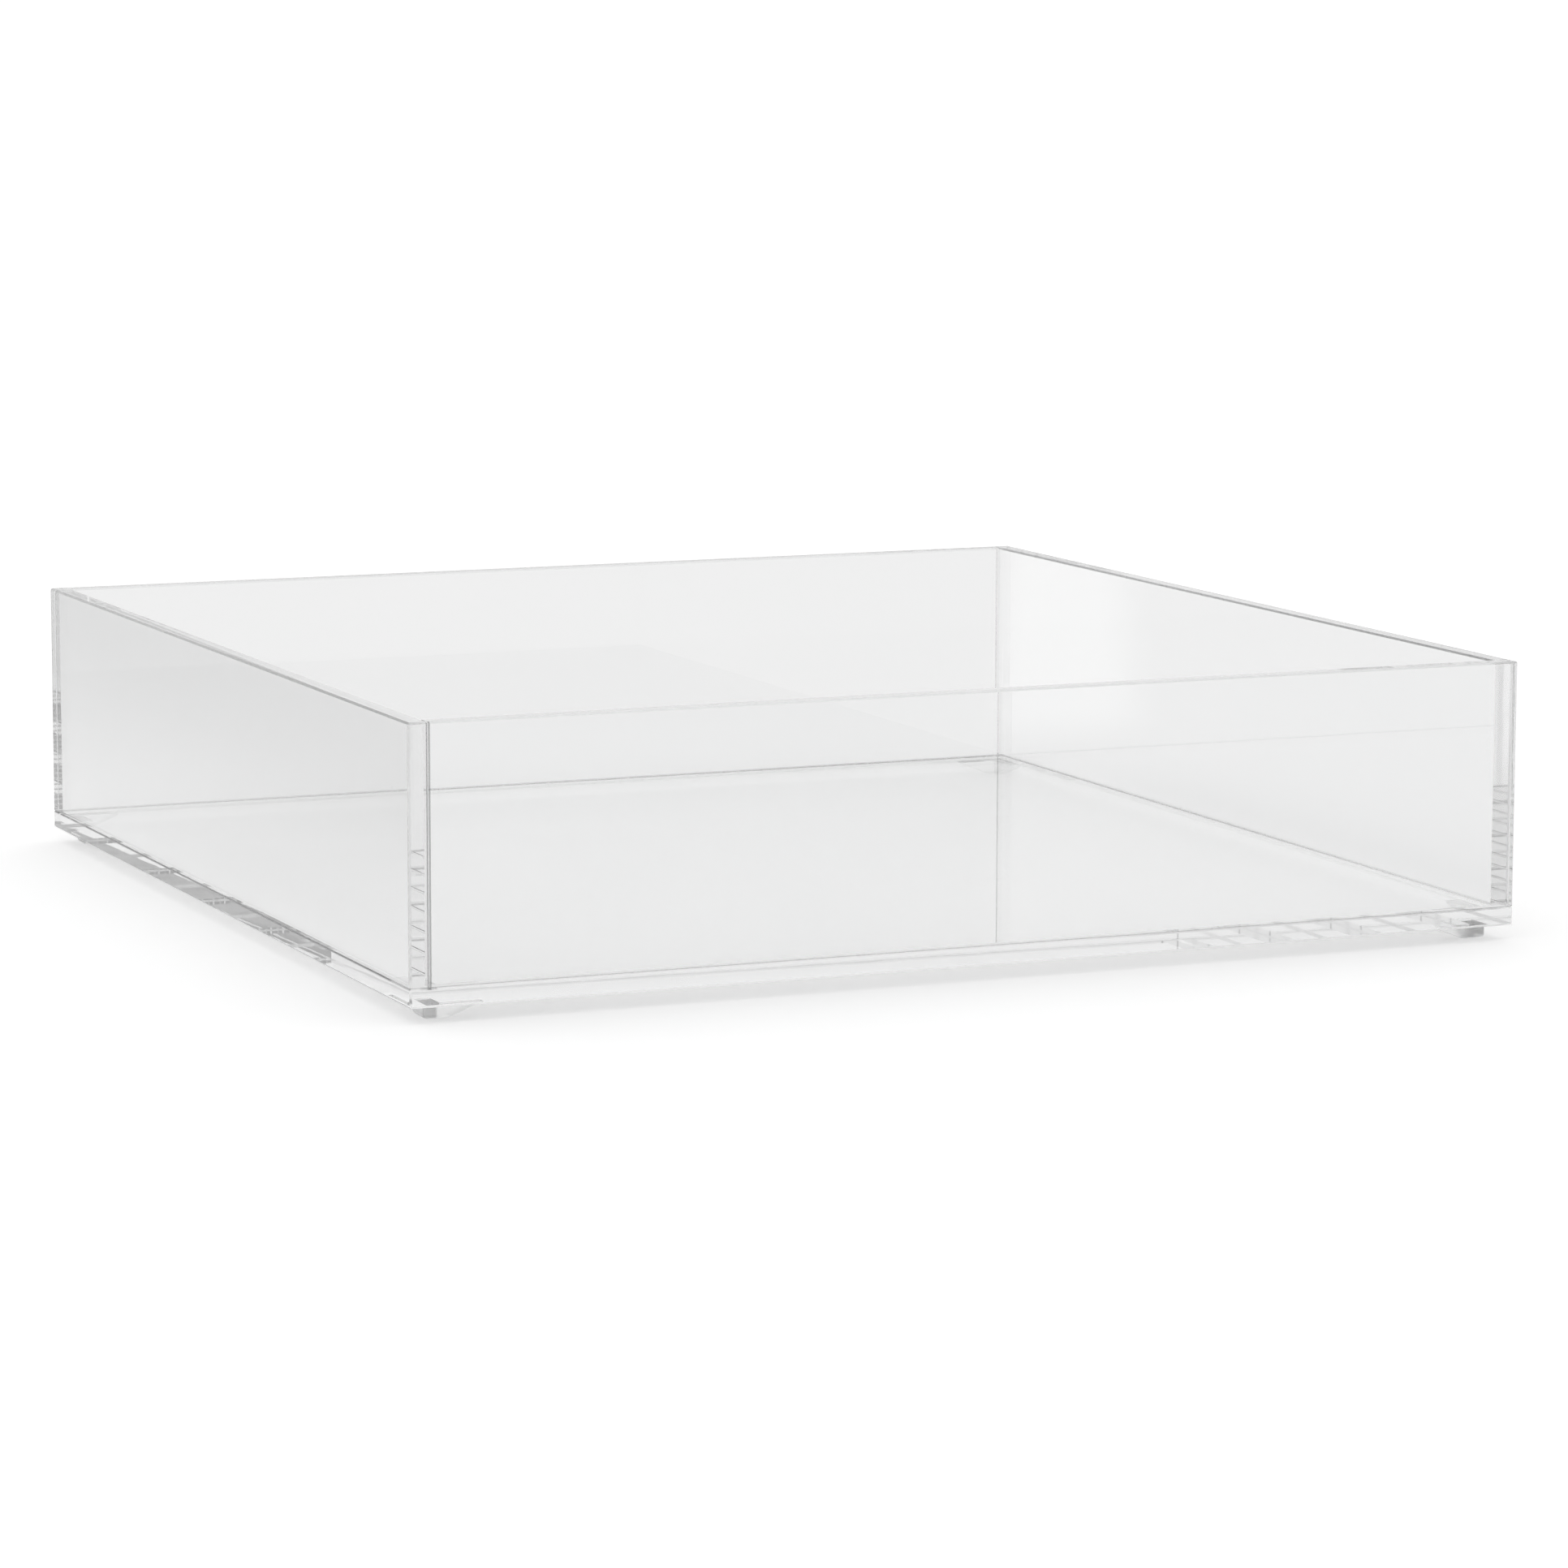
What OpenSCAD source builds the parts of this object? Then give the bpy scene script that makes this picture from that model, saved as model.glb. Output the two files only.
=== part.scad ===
// Open stacking box of clear acrylic sheet, bonded at the edges.
// The base is full size and carries four walls set in a pinwheel: each wall
// butts against the next one and covers the end of the one before it.
// L-shaped feet under the corners drop inside the rim of the box below.
// The origin is at the middle of the box, on the plane that the feet stand on.

/* [Box] */
// Outside width, left to right
box_w = 305; // [200:1:400]
// Outside depth, front to back
box_d = 305; // [200:1:400]
// Height from the underside of the base to the rim
box_h = 69.4; // [40:0.2:140]

/* [Sheet] */
// Thickness of the walls
wall_t = 5; // [3:0.5:8]
// Thickness of the base
base_t = 5; // [3:0.5:8]
// Width of the polished bevel along every bare edge
edge_bevel = 0.5; // [0.2:0.1:0.8]

/* [Feet] */
// Height of a foot below the base
foot_h = 3.8; // [2:0.2:8]
// Width of each of a foot's two arms
foot_arm_w = 4.2; // [3:0.2:8]
// Length of the flat sole, from the foot's outer corner
foot_flat = 5.9; // [4:0.1:16]
// Angle at which the sole runs up to the base, in degrees
foot_slope = 21; // [15:1:45]
// Height left at the thin end of an arm
foot_tip_h = 0.4; // [0.2:0.1:1]
// Radius of the sole's outer edges
foot_round = 1; // [0.4:0.1:1.6]
// Gap between a foot and the walls that it drops between
stack_gap = 0.4; // [0.2:0.1:1]

/* [Hidden] */
$fn = 64;

acrylic = [0.86, 0.92, 0.93, 0.4];

base_z = foot_h;
wall_z = base_z + base_t;
wall_h = box_h - base_t;

foot_inset = wall_t + stack_gap;
foot_reach = foot_flat + (foot_h - foot_tip_h) / tan(foot_slope);

// A rectangle whose corners are cut by the bevel, each where its flag is 1.
// Corners go anticlockwise from the origin.
module bevelled_rect(w, h, flags) {
    c = edge_bevel * flags;
    polygon([
        [c[0], 0],
        [w - c[1], 0],
        [w, c[1]],
        [w, h - c[2]],
        [w - c[2], h],
        [c[3], h],
        [0, h - c[3]],
        [0, c[0]]
    ]);
}

// The solid that shows a plan from above, one profile from the front and
// another from the right, all drawn from the same corner.
module from_three_profiles(w, d, h) {
    intersection() {
        linear_extrude(h) children(0);
        translate([0, d, 0]) rotate([90, 0, 0]) linear_extrude(d) children(1);
        rotate([90, 0, 90]) linear_extrude(w) children(2);
    }
}

// One wall, lying along X from its butted end at the origin to its bare end,
// with its outer face at y = 0. The bare end shows in the neighbouring face
// of the box, so its edges are bevelled, as the rim is.
module wall(len) {
    from_three_profiles(len, wall_t, wall_h) {
        bevelled_rect(len, wall_t, [0, 1, 1, 0]);
        bevelled_rect(len, wall_h, [0, 0, 1, 0]);
        bevelled_rect(wall_t, wall_h, [0, 0, 1, 1]);
    }
}

// The side view of a foot, from its outer corner: a sole with a rounded
// outer edge, a flat part, and a slope up to the base.
module foot_profile() {
    polygon([
        [0, foot_h],
        [0, foot_round],
        [foot_round, 0],
        [foot_flat, 0],
        [foot_reach, foot_h - foot_tip_h],
        [foot_reach, foot_h]
    ]);
    translate([foot_round, foot_round]) circle(foot_round);
}

// One foot, with its outer corner at the origin and its arms along X and Y.
module foot() {
    from_three_profiles(foot_reach, foot_reach, foot_h) {
        difference() {
            square(foot_reach);
            translate([foot_arm_w, foot_arm_w]) square(foot_reach);
        }
        foot_profile();
        foot_profile();
    }
}

// A foot under one corner of the box: side_x is -1 on the left and 1 on the
// right, side_y is -1 at the front and 1 at the back.
module corner_foot(side_x, side_y) {
    color(acrylic)
    translate([side_x * (box_w / 2 - foot_inset), side_y * (box_d / 2 - foot_inset), 0])
    mirror([side_x > 0 ? 1 : 0, 0, 0])
    mirror([0, side_y > 0 ? 1 : 0, 0])
    foot();
}

module base_panel() {
    color(acrylic)
    translate([-box_w / 2, -box_d / 2, base_z])
    from_three_profiles(box_w, box_d, base_t) {
        bevelled_rect(box_w, box_d, [1, 1, 1, 1]);
        bevelled_rect(box_w, base_t, [1, 1, 1, 1]);
        bevelled_rect(box_d, base_t, [1, 1, 1, 1]);
    }
}

module front_panel() {
    color(acrylic)
    translate([wall_t - box_w / 2, -box_d / 2, wall_z])
    wall(box_w - wall_t);
}

module right_panel() {
    color(acrylic)
    translate([box_w / 2, wall_t - box_d / 2, wall_z])
    rotate(90)
    wall(box_d - wall_t);
}

module back_panel() {
    color(acrylic)
    translate([box_w / 2 - wall_t, box_d / 2, wall_z])
    rotate(180)
    wall(box_w - wall_t);
}

module left_panel() {
    color(acrylic)
    translate([-box_w / 2, box_d / 2 - wall_t, wall_z])
    rotate(270)
    wall(box_d - wall_t);
}

module foot_front_left() {
    corner_foot(-1, -1);
}

module foot_front_right() {
    corner_foot(1, -1);
}

module foot_back_left() {
    corner_foot(-1, 1);
}

module foot_back_right() {
    corner_foot(1, 1);
}

base_panel();
front_panel();
right_panel();
back_panel();
left_panel();
foot_front_left();
foot_front_right();
foot_back_left();
foot_back_right();
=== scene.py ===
"""Open stacking box of clear acrylic sheet: its finish, the floor it stands on, the light and the camera.

Metres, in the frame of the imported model: +Z up, the feet on z = 0, the box's middle at x = y = 0.
"""

import math

import bmesh
import bpy
from mathutils import Matrix, Vector


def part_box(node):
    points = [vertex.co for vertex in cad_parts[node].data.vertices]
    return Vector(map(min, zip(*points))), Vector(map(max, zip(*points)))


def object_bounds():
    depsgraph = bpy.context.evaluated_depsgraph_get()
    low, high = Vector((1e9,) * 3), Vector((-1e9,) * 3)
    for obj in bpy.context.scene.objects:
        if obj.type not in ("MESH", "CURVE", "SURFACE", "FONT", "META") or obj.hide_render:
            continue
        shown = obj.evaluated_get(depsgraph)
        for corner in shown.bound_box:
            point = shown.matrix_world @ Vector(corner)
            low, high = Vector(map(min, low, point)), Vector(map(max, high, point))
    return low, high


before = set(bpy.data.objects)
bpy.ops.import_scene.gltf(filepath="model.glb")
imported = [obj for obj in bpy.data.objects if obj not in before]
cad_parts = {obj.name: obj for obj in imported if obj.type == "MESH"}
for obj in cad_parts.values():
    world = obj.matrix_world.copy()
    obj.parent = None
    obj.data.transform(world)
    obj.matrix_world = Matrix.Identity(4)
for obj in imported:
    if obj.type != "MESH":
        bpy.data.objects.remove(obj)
cad_low, cad_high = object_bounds()

# Sizes of the box, read from its pieces
HALF_W = cad_high.x
HALF_D = cad_high.y
RIM_Z = cad_high.z
BASE_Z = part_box("base_panel")[0].z
WALL_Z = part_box("base_panel")[1].z
WALL_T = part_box("front_panel")[1].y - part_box("front_panel")[0].y
INNER_W = HALF_W - WALL_T
INNER_D = HALF_D - WALL_T

# The back right foot, which stands for all four, and the width of its two arms
FOOT_LOW, FOOT_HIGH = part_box("foot_back_right")
FOOT_ARM = 0.0042

# Clear acrylic: polished faces, bevels that were only machined, and matt feet
ACRYLIC_IOR = 1.49
CLEAREST = (0.995, 0.995, 0.995, 1)
HAZIEST = (0.975, 0.978, 0.978, 1)
HAZE_CLOUDS_PER_METRE = 14
FACE_ROUGHNESS = 0.005
SCUFFS_PER_METRE = 420
SCUFF_START = 0.62
SCUFF_CONTRAST = 6
SCUFF_ROUGHNESS = 0.08
EDGE_ROUGHNESS = 0.2
RIM_ROUGHNESS = 0.6
FOOT_ROUGHNESS = 0.3
WAVES_PER_METRE = 60
WAVE_HEIGHT = 0.000003

# The largest of a normal's X, Y and Z: up to the first value the face is a machined bevel, and from the
# second on it is polished
SLANTED = 0.8
STRAIGHT = 0.95

# Solvent bonds let light through from sheet to sheet, and lose a little of it
BOND_REACH = 0.00001
BOND_CLARITY = (0.94, 0.94, 0.94, 1)

# Grey traces of solvent in the grooves beside the front joint and along the top of the base
RESIDUE = (0.1, 0.102, 0.102, 1)
GROOVE = 0.00052
BASE_GROOVE = 0.00016
JOINT_RESIDUE = 0.8
BASE_RESIDUE = 0.5

# Brightness of the surroundings, where 1 is white. It changes from BACKDROP to CAMERA_SIDE as a direction
# turns to the front, and back again as it rises.
WHITE = (1, 1, 1, 1)
BACKDROP = 0.86
CAMERA_SIDE = 0.3
TURN_TO_FRONT = (0.05, 0.45)
RISE = (0.35, 0.75)

# The floor lies just under the soles, which would otherwise share its plane
FLOOR_HALF = 30
FLOOR_GAP = 0.0002
FLOOR_GREY = (0.84, 0.84, 0.84, 1)

# What is added to the floor's own brightness, for the camera and where it shows through the acrylic
DIRECT_LIFT = 0.42
THROUGH_LIFT = 0.22
# Painted light: a pool of light glowing on the floor under the box, filling in the box's shadow where the
# acrylic shows it
UNDER_BOX_PAINTED_LIGHT = 0.28
# Painted light: a soft bright stripe glowing on the floor at the back right, which the acrylic shows as a
# light patch near its back right corner
STREAK_PAINTED_LIGHT = 0.08
STREAK_TURN = math.radians(26.4)
# Painted shade: a darker patch on the floor at the left, which the box's left face shows as a dim
# reflection
LEFT_PAINTED_SHADE = 0.34

# Soft edges of that painted light and painted shade on the floor, each from its start to its end. The
# painted shade's right edge is measured to the left of the box's middle.
UNDER_BOX_EDGE = (0.13, 0.2)
STREAK_LEFT_EDGE = (0.055, 0.075)
STREAK_RIGHT_EDGE = (0.1, 0.125)
STREAK_FRONT_END = (0.2, 0.3)
DIMMED_RIGHT_EDGE = (0.14, 0.32)
DIMMED_FRONT_EDGE = (-0.2, 0.1)

# Light is led along the sheets from edge to edge, with many reflections on its way
LIGHT_BOUNCES = 64

# The photograph's frame, in pixels, and the camera that was fitted to it
PHOTO_SIDE = 1932
FOCAL_PIXELS = 6914.8
SENSOR = 36.0
CAMERA_RANGE = 100
CAMERA_AT = Vector((-0.59682, -1.40115, 0.25686))
CAMERA_AZIMUTH = math.radians(23.4585)
CAMERA_PITCH = math.radians(8.5203)
CAMERA_ROLL = math.radians(0.1412)


def put(tree, socket, value):
    """Links a Value or a socket to a socket, or sets a plain number or colour on it."""
    if isinstance(value, Value):
        value = value.socket
    if isinstance(value, bpy.types.NodeSocket):
        tree.links.new(value, socket)
    else:
        socket.default_value = value


class Value:
    """A number that varies over a surface: a shader socket for use in Python expressions."""

    def __init__(self, tree, socket):
        self.tree = tree
        self.socket = socket

    def math(self, operation, *others):
        node = self.tree.nodes.new("ShaderNodeMath")
        node.operation = operation
        for socket, value in zip(node.inputs, (self, *others)):
            put(self.tree, socket, value)
        return Value(self.tree, node.outputs[0])

    def __add__(self, other):
        return self.math("ADD", other)

    def __sub__(self, other):
        return self.math("SUBTRACT", other)

    def __rsub__(self, other):
        return -self + other

    def __neg__(self):
        return self * -1

    def __mul__(self, other):
        return self.math("MULTIPLY", other)

    def __gt__(self, other):
        return self.math("GREATER_THAN", other)

    def __lt__(self, other):
        return self.math("LESS_THAN", other)

    def __and__(self, other):
        """Both masks at once."""
        return self * other

    def __or__(self, other):
        """Whichever mask is stronger."""
        return self.math("MAXIMUM", other)

    __radd__ = __add__
    __rmul__ = __mul__

    def size(self):
        return self.math("ABSOLUTE")

    def near(self, place, reach=BOND_REACH):
        return (self - place).size() < reach

    def clamped(self):
        """Kept from 0 to 1."""
        value = self + 0
        value.socket.node.use_clamp = True
        return value

    def ramp(self, start, end):
        """0 up to start, 1 from end on, and smooth between."""
        node = self.tree.nodes.new("ShaderNodeMapRange")
        node.interpolation_type = "SMOOTHSTEP"
        put(self.tree, node.inputs["Value"], self)
        node.inputs["From Min"].default_value = start
        node.inputs["From Max"].default_value = end
        return Value(self.tree, node.outputs[0])


class Shader:
    """The node tree of a material or a world."""

    def __init__(self, owner):
        owner.use_nodes = True
        self.tree = owner.node_tree
        self.tree.nodes.clear()

    def node(self, kind, settings=None, **inputs):
        """Adds a node. An input goes by its name, with _ for a space, or by i and its number."""
        node = self.tree.nodes.new("ShaderNode" + kind)
        for name, value in (settings or {}).items():
            setattr(node, name, value)
        for name, value in inputs.items():
            key = int(name[1:]) if name[1:].isdigit() else name.replace("_", " ")
            put(self.tree, node.inputs[key], value)
        return node

    def value(self, socket):
        return Value(self.tree, socket)

    def parts(self, coordinate):
        """The X, Y and Z of one of Texture Coordinate's outputs."""
        vector = self.node("TexCoord").outputs[coordinate]
        return [self.value(part) for part in self.node("SeparateXYZ", Vector=vector).outputs]

    def colours(self, factor, first, second):
        """The first colour where factor is 0, the second where it is 1."""
        mix = self.node("Mix", {"data_type": "RGBA"}, Factor=factor, i6=first, i7=second)
        return mix.outputs[2]


def bonded(shader):
    """1 where two sheets, or a sheet and a foot, are bonded face to face, and 0 elsewhere."""
    x, y, z = shader.parts("Object")
    side_x, side_y = x.size(), y.size()
    under_walls = z.near(WALL_Z) & ((side_x > INNER_W) | (side_y > INNER_D))

    in_foot = (side_x < FOOT_HIGH.x) & (side_y < FOOT_HIGH.y)
    arm_back = (side_x > FOOT_HIGH.x - FOOT_ARM) & (side_y > FOOT_LOW.y)
    arm_across = (side_y > FOOT_HIGH.y - FOOT_ARM) & (side_x > FOOT_LOW.x)
    on_feet = z.near(BASE_Z) & in_foot & (arm_back | arm_across)

    front_left = x.near(-INNER_W) & (y < -INNER_D)
    front_right = y.near(-INNER_D) & (x > INNER_W)
    back_right = x.near(INNER_W) & (y > INNER_D)
    back_left = y.near(INNER_D) & (x < -INNER_W)
    corners = (front_left | front_right | back_right | back_left) & (z > WALL_Z)
    return under_walls | on_feet | corners


def solvent_traces(shader):
    """How much solvent shows in the fine grooves beside the front joint and along the top of the base."""
    x, y, z = shader.parts("Object")
    joint = x.near(-INNER_W, GROOVE) & y.near(-HALF_D, GROOVE) & (z > WALL_Z - GROOVE)
    outside = (x.size() > HALF_W - GROOVE) | (y.size() > HALF_D - GROOVE)
    along_base = z.near(WALL_Z, BASE_GROOVE) & outside
    return joint * JOINT_RESIDUE | along_base * BASE_RESIDUE


def frosting(shader):
    """Roughness of the bevels and rounded edges, which are only machined, and of the feet."""
    across, back, up = [part.size() for part in shader.parts("Normal")]
    machined = 1 - (across | back | up).ramp(SLANTED, STRAIGHT)
    height = shader.parts("Object")[2]
    rim = height > RIM_Z - GROOVE
    edges = machined * (rim * (RIM_ROUGHNESS - EDGE_ROUGHNESS) + EDGE_ROUGHNESS)
    return edges | (height < BASE_Z) * FOOT_ROUGHNESS


def clear_acrylic():
    """Clear sheet: faint haze and scuffs on its faces, and a slight waviness that shows in its edges."""
    material = bpy.data.materials.new("clear_acrylic")
    shader = Shader(material)
    at = shader.node("TexCoord").outputs["Object"]

    clouds = shader.node("TexNoise", Vector=at, Scale=HAZE_CLOUDS_PER_METRE, Detail=3)
    cloud = shader.value(clouds.outputs[0])
    haze = shader.colours(cloud, HAZIEST, CLEAREST)
    tint = shader.colours(solvent_traces(shader), haze, RESIDUE)

    scratches = shader.node("TexNoise", Vector=at, Scale=SCUFFS_PER_METRE, Detail=4, Distortion=2.5)
    scuffs = ((shader.value(scratches.outputs[0]) - SCUFF_START) * SCUFF_CONTRAST).clamped()
    roughness = cloud * FACE_ROUGHNESS + scuffs * SCUFF_ROUGHNESS + frosting(shader)

    waves = shader.node("TexNoise", Vector=at, Scale=WAVES_PER_METRE, Detail=1)
    bump = shader.node("Bump", Height=waves.outputs[0], Strength=1.0, Distance=WAVE_HEIGHT)

    sheet = shader.node(
        "BsdfPrincipled",
        Base_Color=tint,
        Roughness=roughness,
        IOR=ACRYLIC_IOR,
        Transmission_Weight=1.0,
        Normal=bump.outputs[0],
    )
    bond = shader.node("BsdfTransparent", Color=BOND_CLARITY)
    both = shader.node("MixShader", i0=bonded(shader), i1=sheet.outputs[0], i2=bond.outputs[0])
    shader.node("OutputMaterial", Surface=both.outputs[0])
    return material


def seen_directly(shader):
    """1 for camera rays."""
    return shader.value(shader.node("LightPath").outputs["Is Camera Ray"])


def seen_in_acrylic(shader):
    """1 for the rays that the acrylic mirrors or lets through."""
    path = shader.node("LightPath").outputs
    return shader.value(path["Is Glossy Ray"]) | shader.value(path["Is Transmission Ray"])


def studio_world():
    """Pale surroundings, dimmer low down on the camera's side, and white where the camera sees them."""
    world = bpy.data.worlds.new("studio")
    bpy.context.scene.world = world
    shader = Shader(world)
    back, up = shader.parts("Generated")[1:]
    camera_side = (-back).ramp(*TURN_TO_FRONT) * (1 - up.ramp(*RISE))
    level = BACKDROP - camera_side * (BACKDROP - CAMERA_SIDE)
    strength = level + seen_directly(shader) * (1 - level)
    glow = shader.node("Background", Color=WHITE, Strength=strength)
    shader.node("OutputWorld", Surface=glow.outputs[0])


def pale_floor():
    """Matt grey with the box's shadow, lifted to white for the camera and less for the acrylic.

    Where it shows in the acrylic it has painted light under the box, which fills in the box's shadow, and
    in a soft band at the back right, and painted shade at the left.
    """
    material = bpy.data.materials.new("pale_floor")
    shader = Shader(material)
    x, y = shader.parts("Object")[:2]
    # Painted light under the box and in a stripe at the back right, and painted shade at the left, all
    # seen only in the acrylic
    painted_light_under_box = (1 - x.size().ramp(*UNDER_BOX_EDGE)) * (1 - y.size().ramp(*UNDER_BOX_EDGE))
    painted_shade_left = (-x).ramp(*DIMMED_RIGHT_EDGE) * y.ramp(*DIMMED_FRONT_EDGE)
    across = x * math.cos(STREAK_TURN) - y * math.sin(STREAK_TURN)
    band = across.ramp(*STREAK_LEFT_EDGE) * (1 - across.ramp(*STREAK_RIGHT_EDGE))
    painted_light_streak = band * y.ramp(*STREAK_FRONT_END)
    in_acrylic = THROUGH_LIFT + painted_light_under_box * UNDER_BOX_PAINTED_LIGHT + painted_light_streak * STREAK_PAINTED_LIGHT - painted_shade_left * LEFT_PAINTED_SHADE

    direct = seen_directly(shader)
    lift = direct * DIRECT_LIFT + (seen_in_acrylic(shader) - direct).clamped() * in_acrylic
    matt = shader.node("BsdfDiffuse", Color=FLOOR_GREY)
    glow = shader.node("Emission", Color=WHITE, Strength=lift)
    both = shader.node("AddShader", i0=matt.outputs[0], i1=glow.outputs[0])
    shader.node("OutputMaterial", Surface=both.outputs[0])
    return material


def floor():
    mesh = bmesh.new()
    bmesh.ops.create_grid(mesh, x_segments=1, y_segments=1, size=FLOOR_HALF)
    bmesh.ops.translate(mesh, verts=mesh.verts, vec=(0, 0, -FLOOR_GAP))
    data = bpy.data.meshes.new("floor")
    mesh.to_mesh(data)
    mesh.free()
    data.materials.append(pale_floor())
    piece = bpy.data.objects.new("floor", data)
    bpy.context.scene.collection.objects.link(piece)


def camera():
    data = bpy.data.cameras.new("camera")
    data.sensor_width = SENSOR
    data.lens = FOCAL_PIXELS * SENSOR / PHOTO_SIDE
    data.clip_end = CAMERA_RANGE
    piece = bpy.data.objects.new("camera", data)
    bpy.context.scene.collection.objects.link(piece)
    bpy.context.scene.camera = piece

    sin_a, cos_a = math.sin(CAMERA_AZIMUTH), math.cos(CAMERA_AZIMUTH)
    sin_p, cos_p = math.sin(CAMERA_PITCH), math.cos(CAMERA_PITCH)
    ahead = Vector((sin_a * cos_p, cos_a * cos_p, -sin_p))
    level_right = Vector((cos_a, -sin_a, 0))
    level_up = level_right.cross(ahead)
    right = level_right * math.cos(CAMERA_ROLL) + level_up * math.sin(CAMERA_ROLL)
    up = right.cross(ahead)
    turn = Matrix((right, up, -ahead)).transposed().to_4x4()
    piece.matrix_world = Matrix.Translation(CAMERA_AT) @ turn


camera()
acrylic = clear_acrylic()
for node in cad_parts.values():
    for slot in node.material_slots:
        slot.material = acrylic
studio_world()
floor()

scene = bpy.context.scene
scene.view_settings.view_transform = "Standard"
scene.cycles.max_bounces = LIGHT_BOUNCES
scene.cycles.glossy_bounces = LIGHT_BOUNCES
scene.cycles.transmission_bounces = LIGHT_BOUNCES
scene.cycles.transparent_max_bounces = LIGHT_BOUNCES
